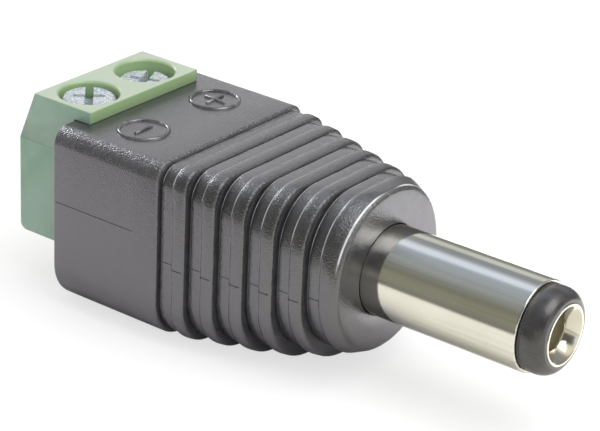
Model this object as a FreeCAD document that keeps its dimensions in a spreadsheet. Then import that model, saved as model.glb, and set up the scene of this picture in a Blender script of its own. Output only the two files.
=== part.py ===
# Power plug with a round barrel at the front and a two way screw terminal at the rear.
# Millimetres. The origin is on the barrel's axis, at the housing's front face.
# +X runs forward along the barrel, +Y to the positive side, +Z up.

import FreeCAD, Part
import Sketcher
import math
import os

from FreeCAD import Rotation, Vector

doc = FreeCAD.newDocument("barrel_plug")
sheet = doc.addObject("Spreadsheet::Sheet", "Sizes")

driving_sizes = [
    # Barrel: plated sleeve, insulator and centre contact
    ("sleeve_radius", 2.75, "outer radius of the plated sleeve"),
    ("sleeve_wall", 0.45, "thickness of the sleeve's wall"),
    ("overall_length", 36.5, "terminal block's rear to the black ring's front"),
    ("sleeve_root", 3.0, "sleeve buried in the housing"),
    ("sleeve_bevel", 0.1, "bevel of the sleeve's front edge"),
    ("neck_radius", 2.5, "locking neck that the plastic grips"),
    ("neck_setback", 0.05, "full radius kept behind the front face"),
    ("flange_radius", 3.5, "rear flange of the sleeve"),
    ("flange_thickness", 0.5, "thickness of that flange"),
    ("nose_radius", 2.59, "black ring at the tip"),
    ("nose_length", 1.54, "black ring's length in front of the sleeve"),
    ("nose_taper", 0.95, "length over which it narrows to the lip"),
    ("contact_radius", 1.35, "outer radius of the centre contact"),
    ("contact_bore", 1.05, "radius of the bore that takes the jack's pin"),
    ("bore_depth", 10.0, "bore's depth from the tip"),
    ("drill_cone", 0.6, "length of the drilled cone behind the bore"),
    ("lip_radius", 1.85, "outer radius of the flared lip"),
    ("funnel_radius", 1.66, "mouth of the funnel in the lip"),
    ("flare_length", 0.85, "length of the flare"),
    ("lip_proud", 0.06, "lip in front of the black ring"),
    ("rivet_radius", 1.75, "head on the contact's rear end"),
    ("rivet_height", 0.35, "height of that head"),
    # Solder lugs and the bush between them
    ("lug_thickness", 0.4, "sheet that both lugs are stamped from"),
    ("lug_bore", 1.9, "hole in the sleeve's lug"),
    ("bush_radius", 2.3, "insulating bush between the lugs"),
    ("bush_length", 1.6, "length of that bush"),
    ("arm_width", 1.8, "width of each lug's arm"),
    ("arm_overlap", 1.5, "length of arm on the terminal's tail"),
    # Housing
    ("housing_length", 20.0, "front face to rear face"),
    ("housing_width", 13.6, "width of the rear block"),
    ("housing_top", 5.04, "top face above the axis"),
    ("housing_bottom", 6.5, "bottom face below the axis"),
    ("top_corner", 1.05, "rounding along the top edges"),
    ("bottom_corner", 2.6, "rounding along the bottom edges"),
    ("rear_bevel", 0.2, "bevel round the rear face"),
    ("first_groove", 11.8, "front face to the first groove"),
    ("rib_pitch", 1.9, "groove to groove"),
    ("groove_width", 0.24, "width of each groove"),
    ("groove_depth", 0.22, "depth of each groove below its rib"),
    ("ledge_length", 0.78, "lower rear part of each rib"),
    ("ledge_drop", 0.09, "how much lower that part is"),
    ("rib_bevel", 0.16, "bevel of each rib's front edge"),
    ("rib_width", 13.2, "width of the first rib"),
    ("rib_top", 4.97, "top of the ribs above the axis"),
    ("rib_top_corner", 1.2, "top corner radius of the first rib"),
    ("rib_bottom_corner", 2.7, "bottom corner radius of the first rib"),
    ("width_step", 0.33, "each rib is narrower than the last by this, each side"),
    ("top_corner_step", 0.5, "growth of the top corner radius at each rib"),
    ("bottom_corner_step", 0.5, "growth of the bottom corner radius at each rib"),
    ("belly_rise", 0.12, "how fast the bottom rises over the front ribs"),
    ("least_flat", 0.1, "least straight run between a section's two corners"),
    ("face_radius", 4.92, "round front end of the housing"),
    ("face_bevel", 0.22, "bevel round the front face"),
    # Terminal block
    ("pole_pitch", 5.08, "distance between the two screws"),
    ("block_width", 9.84, "width of the block"),
    ("plate_thickness", 0.78, "top plate, which lies on the housing"),
    ("plate_overhang", 1.28, "top plate in front of the housing's rear face"),
    ("plate_rear", 3.25, "top plate behind the housing's rear face"),
    ("block_rear", 4.5, "lower block behind the housing's rear face"),
    ("bend_height", 2.64, "where the sloped rear face turns upright"),
    ("block_bottom", 3.53, "underside of the block below the axis"),
    ("block_corner", 0.5, "rounding of the lower rear edge"),
    ("nose_width", 9.5, "width of the block inside the housing"),
    ("nose_top", 4.2, "top of its longer part above the axis"),
    ("nose_bottom", 3.3, "underside of that part below the axis"),
    ("nose_depth", 1.9, "length of that part inside the housing"),
    ("throat_depth", 1.1, "length of the part above it, under the top plate"),
    ("access_radius", 1.85, "screwdriver holes"),
    ("access_bevel", 0.14, "bevel of their upper edge"),
    ("entry_width", 2.9, "wire entries, across"),
    ("entry_height", 2.9, "wire entries, upright"),
    ("entry_funnel", 0.45, "chamfer round each wire entry"),
    # Clamps
    ("frame_width", 3.9, "clamp frame across"),
    ("frame_length", 3.2, "clamp frame along the wire"),
    ("frame_wall", 0.6, "side and floor of the clamp frame"),
    ("frame_roof", 1.0, "threaded roof of the clamp frame"),
    ("frame_top", 2.2, "top of the frame above the axis"),
    ("frame_floor", 2.3, "inner floor of the frame below the axis"),
    ("frame_corner", 0.5, "outer rounding of the bent frame"),
    ("tail_width", 1.8, "tail that leaves each frame towards the plug"),
    ("tail_length", 6.0, "tail in front of the frame"),
    ("thread_radius", 1.2, "screw's thread, drawn plain at its middle radius"),
    ("head_radius", 1.62, "screw head"),
    ("head_height", 1.3, "height of the screw head"),
    ("head_bevel", 0.25, "bevel of the head's upper edge"),
    ("minus_depth", 0.5, "minus screw's head below the plate's top"),
    ("plus_depth", 0.85, "plus screw's head below the plate's top"),
    ("slot_width", 0.7, "slot in the head"),
    ("slot_depth", 0.65, "depth of the slot"),
    ("cross_width", 0.5, "cross recess arm"),
    ("cross_length", 2.0, "cross recess from end to end"),
    ("minus_turn", 41, "turn of the minus screw's slot from the Y axis, in degrees"),
    ("plus_turn", 24, "turn of the plus screw's slot from the Y axis, in degrees"),
    ("shank_length", 3.2, "screw below its head"),
    ("stub_radius", 0.6, "stub that carries the pressure plate"),
    ("stub_head_radius", 0.9, "spread end of the stub"),
    ("stub_head_height", 0.2, "thickness of that end"),
    ("pad_length", 2.7, "pressure plate along the wire"),
    ("pad_width", 2.3, "pressure plate across"),
    ("pad_thickness", 0.35, "thickness of the pressure plate"),
    ("pad_corner", 0.4, "corner radius of the pressure plate"),
    # Solder joints
    ("solder_radius", 0.82, "foot of the solder cone on each arm"),
    ("solder_top_radius", 0.36, "top of that cone"),
    ("solder_height", 0.42, "height of that cone"),
    # Clearances
    ("seat_gap", 0.02, "between nested round parts that don't move"),
    ("run_gap", 0.05, "between parts that turn or slide in each other"),
]

for row, (alias, value, note) in enumerate(driving_sizes, start=1):
    sheet.set(f"A{row}", alias)
    sheet.set(f"B{row}", str(value))
    sheet.set(f"C{row}", note)
    sheet.setAlias(f"B{row}", alias)
doc.recompute()

RIB_COUNT = 6
FLAT_RIBS = 3
ROUNDED_TAPER = [(0.06, 0.2), (0.28, 0.6), (0.6, 0.88), (1, 1)]
SAME_PLACE = 1e-4
SIDES = {"plus": 1, "minus": -1}
nodes = []


def number(expression):
    """Value of an expression of the sheet's sizes, used as a first guess for a sketch."""
    return float(doc.getObject("Sizes").evalExpression(expression))


def sized(text):
    """Writes sizes in short: a word that starts with a dollar is a cell of the sheet."""
    return text.replace("$", "Sizes.")


def new_body(name):
    body = doc.addObject("PartDesign::Body", name)
    body.Label = name
    return body


def origin_plane(body, role):
    return next(f for f in body.Origin.OriginFeatures if f.Role == role)


def new_sketch(body, name, role, offset="0"):
    """Sketch on one of the body's origin planes, moved along that plane's normal."""
    sketch = body.newObject("Sketcher::SketchObject", name)
    sketch.AttachmentSupport = [(origin_plane(body, role), "")]
    sketch.MapMode = "FlatFace"
    sketch.setExpression("AttachmentOffset.Base.z", sized(offset))
    return sketch


def bind(sketch, index, name, expression):
    sketch.renameConstraint(index, name)
    sketch.setExpression(f"Constraints.{name}", sized(expression))


def draw_outline(sketch, corners):
    """Closed outline. A corner that shares a coordinate with the one before is tied to it."""
    places = [Vector(number(sized(u)), number(sized(v)), 0) for u, v in corners]
    count = len(corners)
    first = sketch.GeometryCount
    for i in range(count):
        sketch.addGeometry(Part.LineSegment(places[i], places[(i + 1) % count]), False)
    for i in range(count):
        after = first + (i + 1) % count
        sketch.addConstraint(Sketcher.Constraint("Coincident", first + i, 2, after, 1))
    for i, (u, v) in enumerate(corners):
        last_u, last_v = corners[i - 1] if i else (None, None)
        if u == last_u:
            sketch.addConstraint(Sketcher.Constraint("Vertical", first + i - 1))
        else:
            index = sketch.addConstraint(
                Sketcher.Constraint("DistanceX", -1, 1, first + i, 1, places[i].x))
            bind(sketch, index, f"across_{first + i}", u)
        if v == last_v:
            sketch.addConstraint(Sketcher.Constraint("Horizontal", first + i - 1))
        else:
            index = sketch.addConstraint(
                Sketcher.Constraint("DistanceY", -1, 1, first + i, 1, places[i].y))
            bind(sketch, index, f"upright_{first + i}", v)


def draw_circle(sketch, across, upright, radius):
    centre = Vector(number(sized(across)), number(sized(upright)), 0)
    geo = sketch.addGeometry(
        Part.Circle(centre, Vector(0, 0, 1), number(sized(radius))), False)
    index = sketch.addConstraint(Sketcher.Constraint("DistanceX", -1, 1, geo, 3, centre.x))
    bind(sketch, index, f"centre_across_{geo}", across)
    index = sketch.addConstraint(Sketcher.Constraint("DistanceY", -1, 1, geo, 3, centre.y))
    bind(sketch, index, f"centre_upright_{geo}", upright)
    index = sketch.addConstraint(Sketcher.Constraint("Radius", geo, number(sized(radius))))
    bind(sketch, index, f"radius_{geo}", radius)


def draw_rounded_section(sketch, half_width, top, bottom, top_radius, bottom_radius):
    """Section across the housing: flat sides, with one radius above and one below."""
    w, up, down = number(sized(half_width)), number(sized(top)), number(sized(bottom))
    rt, rb = number(sized(top_radius)), number(sized(bottom_radius))
    axis = Vector(0, 0, 1)
    quarter = math.pi / 2

    def line(u1, v1, u2, v2):
        return Part.LineSegment(Vector(u1, v1, 0), Vector(u2, v2, 0))

    def arc(u, v, radius, start):
        circle = Part.Circle(Vector(u, v, 0), axis, radius)
        return Part.ArcOfCircle(circle, start, start + quarter)

    sketch.addGeometry([
        line(rt - w, up, w - rt, up),
        arc(w - rt, up - rt, rt, 0),
        line(w, up - rt, w, rb - down),
        arc(w - rb, rb - down, rb, -quarter),
        line(w - rb, -down, rb - w, -down),
        arc(rb - w, rb - down, rb, math.pi),
        line(-w, rb - down, -w, up - rt),
        arc(rt - w, up - rt, rt, quarter),
    ], False)
    joins = [(0, 2, 1, 2), (1, 1, 2, 1), (2, 2, 3, 2), (3, 1, 4, 1),
             (4, 2, 5, 2), (5, 1, 6, 1), (6, 2, 7, 2), (7, 1, 0, 1)]
    for join in joins:
        sketch.addConstraint(Sketcher.Constraint("Tangent", *join))
    sketch.addConstraint(Sketcher.Constraint("Horizontal", 0))
    sketch.addConstraint(Sketcher.Constraint("Vertical", 2))
    sketch.addConstraint(Sketcher.Constraint("Equal", 1, 7))
    sketch.addConstraint(Sketcher.Constraint("Equal", 3, 5))
    sizes = [
        ("right", Sketcher.Constraint("DistanceX", -1, 1, 2, 1, w), half_width),
        ("left", Sketcher.Constraint("DistanceX", 6, 1, -1, 1, w), half_width),
        ("top", Sketcher.Constraint("DistanceY", -1, 1, 0, 1, up), top),
        ("bottom", Sketcher.Constraint("DistanceY", 4, 1, -1, 1, down), bottom),
        ("top_radius", Sketcher.Constraint("Radius", 1, rt), top_radius),
        ("bottom_radius", Sketcher.Constraint("Radius", 3, rb), bottom_radius),
    ]
    for name, constraint, expression in sizes:
        bind(sketch, sketch.addConstraint(constraint), name, expression)


def pad(body, name, sketch, length, both_ways=False, backwards=False):
    feature = body.newObject("PartDesign::Pad", name)
    feature.Profile = sketch
    feature.setExpression("Length", sized(length))
    feature.Midplane = both_ways
    feature.Reversed = backwards
    return feature


def pocket(body, name, sketch, length, backwards=False):
    feature = body.newObject("PartDesign::Pocket", name)
    feature.Profile = sketch
    feature.setExpression("Length", sized(length))
    feature.Reversed = backwards
    return feature


def revolve(body, name, corners):
    """Turned part: a half section above the barrel's axis, turned round that axis."""
    sketch = new_sketch(body, name + "_section", "XZ_Plane")
    draw_outline(sketch, corners)
    feature = body.newObject("PartDesign::Revolution", name)
    feature.Profile = sketch
    feature.ReferenceAxis = (sketch, ["H_Axis"])
    feature.Angle = 360
    return feature


def edges_where(feature, wanted):
    """Names of the feature's edges whose box passes a test."""
    shape = feature.Shape
    return [f"Edge{i}" for i, edge in enumerate(shape.Edges, start=1)
            if wanted(edge.BoundBox)]


def dress_edges(kind, size_name, body, name, feature, wanted, size):
    doc.recompute()
    names = edges_where(feature, wanted)
    if not names:
        raise RuntimeError(f"no edge found for {name}")
    dressed = body.newObject("PartDesign::" + kind, name)
    dressed.Base = (feature, names)
    dressed.setExpression(size_name, sized(size))
    return dressed


def round_edges(*details):
    return dress_edges("Fillet", "Radius", *details)


def bevel_edges(*details):
    return dress_edges("Chamfer", "Size", *details)


def near(a, b):
    return abs(a - b) < SAME_PLACE


def keep(item):
    nodes.append(item)
    return item


# Barrel

ring_front = "$overall_length - $block_rear - $housing_length"
sleeve_front = f"({ring_front} - $nose_length)"


def make_outer_sleeve():
    body = new_body("outer_sleeve")
    inner = "$sleeve_radius - $sleeve_wall"
    rim = sleeve_front
    front_of_flange = "-($sleeve_root - $flange_thickness)"
    turned = revolve(body, "sleeve_turned", [
        ("-$sleeve_root", inner),
        (rim, inner),
        (rim, "$sleeve_radius"),
        ("-$neck_setback", "$sleeve_radius"),
        ("-$neck_setback", "$neck_radius"),
        (front_of_flange, "$neck_radius"),
        (front_of_flange, "$flange_radius"),
        ("-$sleeve_root", "$flange_radius"),
    ])
    reach = number(sized(rim))
    outside = number(sized("$sleeve_radius"))

    def front_edge(box):
        return near(box.XMin, reach) and near(box.XMax, reach) and near(box.ZMax, outside)

    bevel_edges(body, "sleeve_rim", turned, front_edge, "$sleeve_bevel")
    return keep(body)


def make_tip_insulator():
    body = new_body("tip_insulator")
    inside = "$contact_radius + $seat_gap"
    tube = "$sleeve_radius - $sleeve_wall - $seat_gap"
    collar_start = f"{sleeve_front} + $seat_gap"
    front = ring_front
    mouth = "$lip_radius + $seat_gap"
    fall = f"($nose_radius - {mouth})"
    taper = [(f"{front} - {x} * $nose_taper", f"{mouth} + {r} * {fall}")
             for x, r in ROUNDED_TAPER]
    revolve(body, "insulator_turned", [
        ("-$sleeve_root", inside),
        (f"{front} + $lip_proud - $flare_length", inside),
        (front, mouth),
        *taper,
        (collar_start, "$nose_radius"),
        (collar_start, tube),
        ("-$sleeve_root", tube),
    ])
    return keep(body)


def make_centre_contact():
    body = new_body("centre_contact")
    tip = ring_front + " + $lip_proud"
    lug_back = "-($sleeve_root + 2 * $lug_thickness + $bush_length)"
    rear = lug_back + " - $rivet_height"
    flare = tip + " - $flare_length"
    revolve(body, "contact_turned", [
        (rear, "0"),
        (tip + " - $bore_depth - $drill_cone", "0"),
        (tip + " - $bore_depth", "$contact_bore"),
        (flare, "$contact_bore"),
        (tip, "$funnel_radius"),
        (tip, "$lip_radius"),
        (tip + " - $lip_proud", "$lip_radius"),
        (flare, "$contact_radius"),
        (lug_back, "$contact_radius"),
        (lug_back, "$rivet_radius"),
        (rear, "$rivet_radius"),
    ])
    return keep(body)


# Lugs, bush and solder inside the housing

tail_tip = "-($housing_length + $plate_rear / 2 - $plate_overhang / 2) + $frame_length / 2 + $tail_length"
arm_under = "-$frame_floor"


def make_rear_bush():
    body = new_body("rear_bush")
    front = "-($sleeve_root + $lug_thickness)"
    rear = "-($sleeve_root + $lug_thickness + $bush_length)"
    revolve(body, "bush_turned", [
        (rear, "$contact_radius + $seat_gap"),
        (front, "$contact_radius + $seat_gap"),
        (front, "$bush_radius"),
        (rear, "$bush_radius"),
    ])
    return keep(body)


def add_arm(body, side, plate_rear):
    """Arm of a lug: runs back from the lug's plate and lies on the terminal's tail."""
    sketch = new_sketch(body, "arm_outline", "XY_Plane", arm_under)
    left = f"{side} * $pole_pitch / 2 - $arm_width / 2"
    right = f"{side} * $pole_pitch / 2 + $arm_width / 2"
    back = f"{tail_tip} - $arm_overlap"
    front = f"{plate_rear} + $lug_thickness"
    draw_outline(sketch, [(back, left), (front, left), (front, right), (back, right)])
    pad(body, "arm", sketch, "$lug_thickness")


def make_sleeve_lug():
    body = new_body("sleeve_lug")
    rear = "-($sleeve_root + $lug_thickness)"
    ring = new_sketch(body, "ring_outline", "YZ_Plane", rear)
    draw_circle(ring, "0", "0", "$flange_radius")
    draw_circle(ring, "0", "0", "$lug_bore")
    pad(body, "ring", ring, "$lug_thickness")
    add_arm(body, SIDES["minus"], rear)
    return keep(body)


def make_centre_lug():
    body = new_body("centre_lug")
    rear = "-($sleeve_root + 2 * $lug_thickness + $bush_length)"
    eye = new_sketch(body, "eye_outline", "YZ_Plane", rear)
    draw_circle(eye, "0", "0", "$bush_radius")
    pad(body, "eye", eye, "$lug_thickness")
    web = new_sketch(body, "web_outline", "YZ_Plane", rear)
    draw_outline(web, [
        ("0", arm_under),
        ("$pole_pitch / 2 + $arm_width / 2", arm_under),
        ("$pole_pitch / 2 + $arm_width / 2", arm_under + " + $lug_thickness"),
        ("$bush_radius", "0"),
        ("0", "0"),
    ])
    pad(body, "web", web, "$lug_thickness")
    add_arm(body, SIDES["plus"], rear)
    hole = new_sketch(body, "eye_hole_outline", "YZ_Plane", rear)
    draw_circle(hole, "0", "0", "$contact_radius + $seat_gap")
    pocket(body, "eye_hole", hole, "$lug_thickness", backwards=True)
    return keep(body)


def make_solder(name, side):
    """Solder that has run out into a low cone on the arm."""
    cone = doc.addObject("Part::Cone", "solder_" + name)
    cone.Label = "solder_" + name
    cone.setExpression("Radius1", sized("$solder_radius"))
    cone.setExpression("Radius2", sized("$solder_top_radius"))
    cone.setExpression("Height", sized("$solder_height"))
    cone.setExpression("Placement.Base.x", sized(f"{tail_tip} - $arm_overlap / 2"))
    cone.setExpression("Placement.Base.y", sized(f"{side} * $pole_pitch / 2"))
    cone.setExpression("Placement.Base.z", sized(f"{arm_under} + $lug_thickness"))
    return keep(cone)


# Housing

def rib_sizes(i, drop="0"):
    """Section of rib i, lowered all round by drop."""
    rise = max(0, i + 1 - FLAT_RIBS) ** 2
    half_width = f"$rib_width / 2 - {i} * $width_step - ({drop})"
    return (
        half_width,
        f"$rib_top - ({drop})",
        f"$housing_bottom - {rise} * $belly_rise - ({drop})",
        f"min($rib_top_corner + {i} * $top_corner_step; {half_width} - $least_flat)",
        f"min($rib_bottom_corner + {i} * $bottom_corner_step; {half_width} - $least_flat)",
    )


def groove_place(i):
    return f"-($first_groove - {i} * $rib_pitch)"


def make_housing_outside():
    """Rear block, then for each rib a groove floor, a low ledge and a higher crest.

    The front crest runs out into the round end of the housing.
    """
    body = new_body("housing_outside")
    block = new_sketch(body, "block_outline", "YZ_Plane", "-$housing_length")
    draw_rounded_section(block, "$housing_width / 2", "$housing_top", "$housing_bottom",
                         "$top_corner", "$bottom_corner")
    last = pad(body, "block", block, "$housing_length - $first_groove")
    rear = -number(sized("$housing_length"))
    last = bevel_edges(body, "rear_edge", last,
                       lambda box: near(box.XMin, rear) and near(box.XMax, rear),
                       "$rear_bevel")
    for i in range(RIB_COUNT):
        front = number(sized(groove_place(i)))
        last = bevel_edges(body, f"front_edge_{i}", last,
                           lambda box: near(box.XMin, front) and near(box.XMax, front),
                           "$rib_bevel")
        floor = new_sketch(body, f"floor_outline_{i}", "YZ_Plane", groove_place(i))
        draw_rounded_section(floor, *rib_sizes(i, "$groove_depth"))
        pad(body, f"floor_{i}", floor, "$groove_width")
        ledge_start = groove_place(i) + " + $groove_width"
        ledge = new_sketch(body, f"ledge_outline_{i}", "YZ_Plane", ledge_start)
        draw_rounded_section(ledge, *rib_sizes(i, "$ledge_drop"))
        pad(body, f"ledge_{i}", ledge, "$ledge_length")
        crest_start = ledge_start + " + $ledge_length"
        crest = new_sketch(body, f"crest_outline_{i}", "YZ_Plane", crest_start)
        draw_rounded_section(crest, *rib_sizes(i))
        if i < RIB_COUNT - 1:
            last = pad(body, f"crest_{i}", crest, "$rib_pitch - $groove_width - $ledge_length")
    face = new_sketch(body, "face_outline", "YZ_Plane")
    corner = "$face_radius - $least_flat"
    draw_rounded_section(face, "$face_radius", "$face_radius", "$face_radius", corner, corner)
    last = body.newObject("PartDesign::AdditiveLoft", "front_crest")
    last.Profile = crest
    last.Sections = [face]
    bevel_edges(body, "face_edge", last,
                lambda box: near(box.XMin, 0) and near(box.XMax, 0), "$face_bevel")
    return body


def make_barrel_cavity():
    """Space that the barrel's buried end fills in the moulded housing."""
    body = new_body("barrel_cavity")
    gap = "$seat_gap"
    lug_front = "-$sleeve_root"
    lug_back = "-($sleeve_root + $lug_thickness)"
    bush_back = "-($sleeve_root + $lug_thickness + $bush_length)"
    eye_back = "-($sleeve_root + 2 * $lug_thickness + $bush_length)"
    flange_front = "-($sleeve_root - $flange_thickness)"
    revolve(body, "cavity_turned", [
        (f"{eye_back} - $rivet_height", "0"),
        ("1", "0"),
        ("1", f"$sleeve_radius + {gap}"),
        ("-$neck_setback", f"$sleeve_radius + {gap}"),
        ("-$neck_setback", f"$neck_radius + {gap}"),
        (flange_front, f"$neck_radius + {gap}"),
        (flange_front, f"$flange_radius + {gap}"),
        (lug_back, f"$flange_radius + {gap}"),
        (lug_back, f"$bush_radius + {gap}"),
        (eye_back, f"$bush_radius + {gap}"),
        (eye_back, f"$rivet_radius + {gap}"),
        (f"{eye_back} - $rivet_height", f"$rivet_radius + {gap}"),
    ])
    return body


def add_nose(body, rear):
    """Part of the terminal block that reaches into the housing, from rear forward."""
    outline = new_sketch(body, "nose_outline", "XZ_Plane")
    draw_outline(outline, [
        (rear, "-$nose_bottom"),
        ("-($housing_length - $nose_depth)", "-$nose_bottom"),
        ("-($housing_length - $nose_depth)", "$nose_top"),
        ("-($housing_length - $throat_depth)", "$nose_top"),
        ("-($housing_length - $throat_depth)", "$housing_top"),
        (rear, "$housing_top"),
    ])
    return pad(body, "nose", outline, "$nose_width", both_ways=True)


def make_nose_pocket():
    body = new_body("nose_pocket")
    add_nose(body, "-($housing_length + $plate_overhang)")
    return body


def make_housing(outside, inserts):
    """The housing is moulded round its inserts, so they are cut from it."""
    spaces = doc.addObject("Part::MultiFuse", "housing_spaces")
    spaces.Shapes = inserts
    cut = doc.addObject("Part::Cut", "housing")
    cut.Label = "housing"
    cut.Base = outside
    cut.Tool = spaces
    return keep(cut)


# Terminal block

screw_x = "-($housing_length + $plate_rear / 2 - $plate_overhang / 2)"
plate_top = "$housing_top + $plate_thickness"


def make_terminal_block():
    body = new_body("terminal_block")
    side = new_sketch(body, "side_outline", "XZ_Plane")
    draw_outline(side, [
        ("-($housing_length + $block_rear)", "-$block_bottom"),
        ("-$housing_length", "-$block_bottom"),
        ("-$housing_length", "$housing_top"),
        ("-($housing_length - $plate_overhang)", "$housing_top"),
        ("-($housing_length - $plate_overhang)", plate_top),
        ("-($housing_length + $plate_rear)", plate_top),
        ("-($housing_length + $block_rear)", "$bend_height"),
    ])
    shell = pad(body, "block_body", side, "$block_width", both_ways=True)
    rear = -number(sized("$housing_length + $block_rear"))
    under = -number(sized("$block_bottom"))
    shell = round_edges(
        body, "lower_rear_round", shell,
        lambda box: near(box.XMax, rear) and near(box.ZMax, under), "$block_corner")

    add_nose(body, "-$housing_length")

    access = new_sketch(body, "access_outline", "XY_Plane", plate_top)
    for pole in SIDES.values():
        draw_circle(access, screw_x, f"{pole} * $pole_pitch / 2", "$access_radius")
    last = pocket(body, "access_holes", access, f"{plate_top} - $frame_top")
    top = number(sized(plate_top))
    hole = number(sized("$access_radius"))
    last = bevel_edges(
        body, "access_edge", last,
        lambda box: near(box.ZMin, top) and near(box.ZMax, top)
        and near(box.XMax - box.XMin, 2 * hole), "$access_bevel")

    chambers = new_sketch(body, "chamber_outline", "XY_Plane", "$frame_top")
    for pole in SIDES.values():
        middle = f"{pole} * $pole_pitch / 2"
        draw_outline(chambers, [
            (f"{screw_x} - $frame_length / 2", f"{middle} - $frame_width / 2"),
            (f"{screw_x} + $frame_length / 2", f"{middle} - $frame_width / 2"),
            (f"{screw_x} + $frame_length / 2", f"{middle} + $frame_width / 2"),
            (f"{screw_x} - $frame_length / 2", f"{middle} + $frame_width / 2"),
        ])
    pocket(body, "chambers", chambers, "$frame_top + $frame_floor + $frame_wall")

    entries = new_sketch(body, "entry_outline", "YZ_Plane",
                         "-($housing_length + $block_rear)")
    for pole in SIDES.values():
        middle = f"{pole} * $pole_pitch / 2"
        draw_outline(entries, [
            (f"{middle} - $entry_width / 2", "-$frame_floor"),
            (f"{middle} + $entry_width / 2", "-$frame_floor"),
            (f"{middle} + $entry_width / 2", "$entry_height - $frame_floor"),
            (f"{middle} - $entry_width / 2", "$entry_height - $frame_floor"),
        ])
    last = pocket(body, "entries", entries,
                  f"$housing_length + $block_rear + {screw_x} - $frame_length / 2",
                  backwards=True)
    low = -number(sized("$frame_floor"))
    high = low + number(sized("$entry_height"))

    def entry_edge(box):
        on_face = near(box.XMin, rear) and near(box.XMax, rear)
        return on_face and box.ZMin > low - SAME_PLACE and box.ZMax < high + SAME_PLACE

    bevel_edges(body, "entry_funnels", last, entry_edge, "$entry_funnel")

    slots = new_sketch(body, "tail_slot_outline", "YZ_Plane",
                       f"{screw_x} + $frame_length / 2")
    for pole in SIDES.values():
        middle = f"{pole} * $pole_pitch / 2"
        draw_outline(slots, [
            (f"{middle} - $tail_width / 2", "-($frame_floor + $frame_wall)"),
            (f"{middle} + $tail_width / 2", "-($frame_floor + $frame_wall)"),
            (f"{middle} + $tail_width / 2", "-$frame_floor"),
            (f"{middle} - $tail_width / 2", "-$frame_floor"),
        ])
    pocket(body, "tail_slots", slots, "$housing_length", backwards=True)
    return keep(body)


# Clamps

def make_clamp_frame(name, pole):
    """Bent frame with a window for the wire, a threaded roof and a tail to solder."""
    body = new_body("clamp_frame_" + name)
    middle = f"{pole} * $pole_pitch / 2"
    rear = f"{screw_x} - $frame_length / 2"
    section = new_sketch(body, "frame_outline", "YZ_Plane", rear)
    draw_outline(section, [
        (f"{middle} - $frame_width / 2", "-($frame_floor + $frame_wall)"),
        (f"{middle} + $frame_width / 2", "-($frame_floor + $frame_wall)"),
        (f"{middle} + $frame_width / 2", "$frame_top"),
        (f"{middle} - $frame_width / 2", "$frame_top"),
    ])
    ring = pad(body, "frame", section, "$frame_length")
    half = number(sized("$frame_length")) / 2
    ring = round_edges(body, "frame_round", ring,
                       lambda box: near(box.XMax - box.XMin, 2 * half), "$frame_corner")
    window = new_sketch(body, "window_outline", "YZ_Plane", rear)
    draw_outline(window, [
        (f"{middle} - $frame_width / 2 + $frame_wall", "-$frame_floor"),
        (f"{middle} + $frame_width / 2 - $frame_wall", "-$frame_floor"),
        (f"{middle} + $frame_width / 2 - $frame_wall", "$frame_top - $frame_roof"),
        (f"{middle} - $frame_width / 2 + $frame_wall", "$frame_top - $frame_roof"),
    ])
    pocket(body, "window", window, "$frame_length", backwards=True)
    thread = new_sketch(body, "thread_outline", "XY_Plane", "$frame_top")
    draw_circle(thread, screw_x, middle, "$thread_radius + $run_gap")
    pocket(body, "thread", thread, "$frame_roof")
    tail = new_sketch(body, "tail_outline", "XY_Plane", "-($frame_floor + $frame_wall)")
    left = f"{middle} - $tail_width / 2"
    right = f"{middle} + $tail_width / 2"
    start = f"{screw_x} + $frame_length / 2 - $frame_wall"
    draw_outline(tail, [(start, left), (tail_tip, left), (tail_tip, right), (start, right)])
    pad(body, "tail", tail, "$frame_wall")
    return keep(body)


def screw_bottom(name):
    """Height at which the screw's shank ends and its stub begins."""
    return f"{plate_top} - ${name}_depth - $head_height - $shank_length"


def make_screw(name, pole):
    """Screw with a combined slot and cross, drawn on the Z axis and put in its frame."""
    body = new_body("screw_" + name)
    top = f"{plate_top} - ${name}_depth"
    bottom = screw_bottom(name)
    stub_end = f"{bottom} - $pad_thickness - 2 * $run_gap"
    discs = [
        ("shank", bottom, "$thread_radius", "$shank_length"),
        ("head", f"{top} - $head_height", "$head_radius", "$head_height"),
        ("stub", stub_end, "$stub_radius", "$pad_thickness + 2 * $run_gap"),
        ("stub_head", f"{stub_end} - $stub_head_height", "$stub_head_radius",
         "$stub_head_height"),
    ]
    for label, start, radius, height in discs:
        sketch = new_sketch(body, label + "_outline", "XY_Plane", start)
        draw_circle(sketch, "0", "0", radius)
        last = pad(body, label, sketch, height)
    head_top = number(sized(top))
    last = bevel_edges(
        body, "head_edge", last,
        lambda box: near(box.ZMin, head_top) and near(box.ZMax, head_top), "$head_bevel")
    recesses = [
        ("slot", "$slot_width / 2", "$head_radius"),
        ("cross", "$cross_length / 2", "$cross_width / 2"),
    ]
    for label, half_across, half_along in recesses:
        sketch = new_sketch(body, label + "_outline", "XY_Plane", top)
        draw_outline(sketch, [
            (f"-{half_across}", f"-{half_along}"),
            (half_across, f"-{half_along}"),
            (half_across, half_along),
            (f"-{half_across}", half_along),
        ])
        pocket(body, label, sketch, "$slot_depth")
    body.Placement.Rotation = Rotation(Vector(0, 0, 1), number(sized(f"${name}_turn")))
    body.setExpression("Placement.Base.x", sized(screw_x))
    body.setExpression("Placement.Base.y", sized(f"{pole} * $pole_pitch / 2"))
    body.setExpression("Placement.Rotation.Angle", sized(f"${name}_turn"))
    return keep(body)


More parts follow.
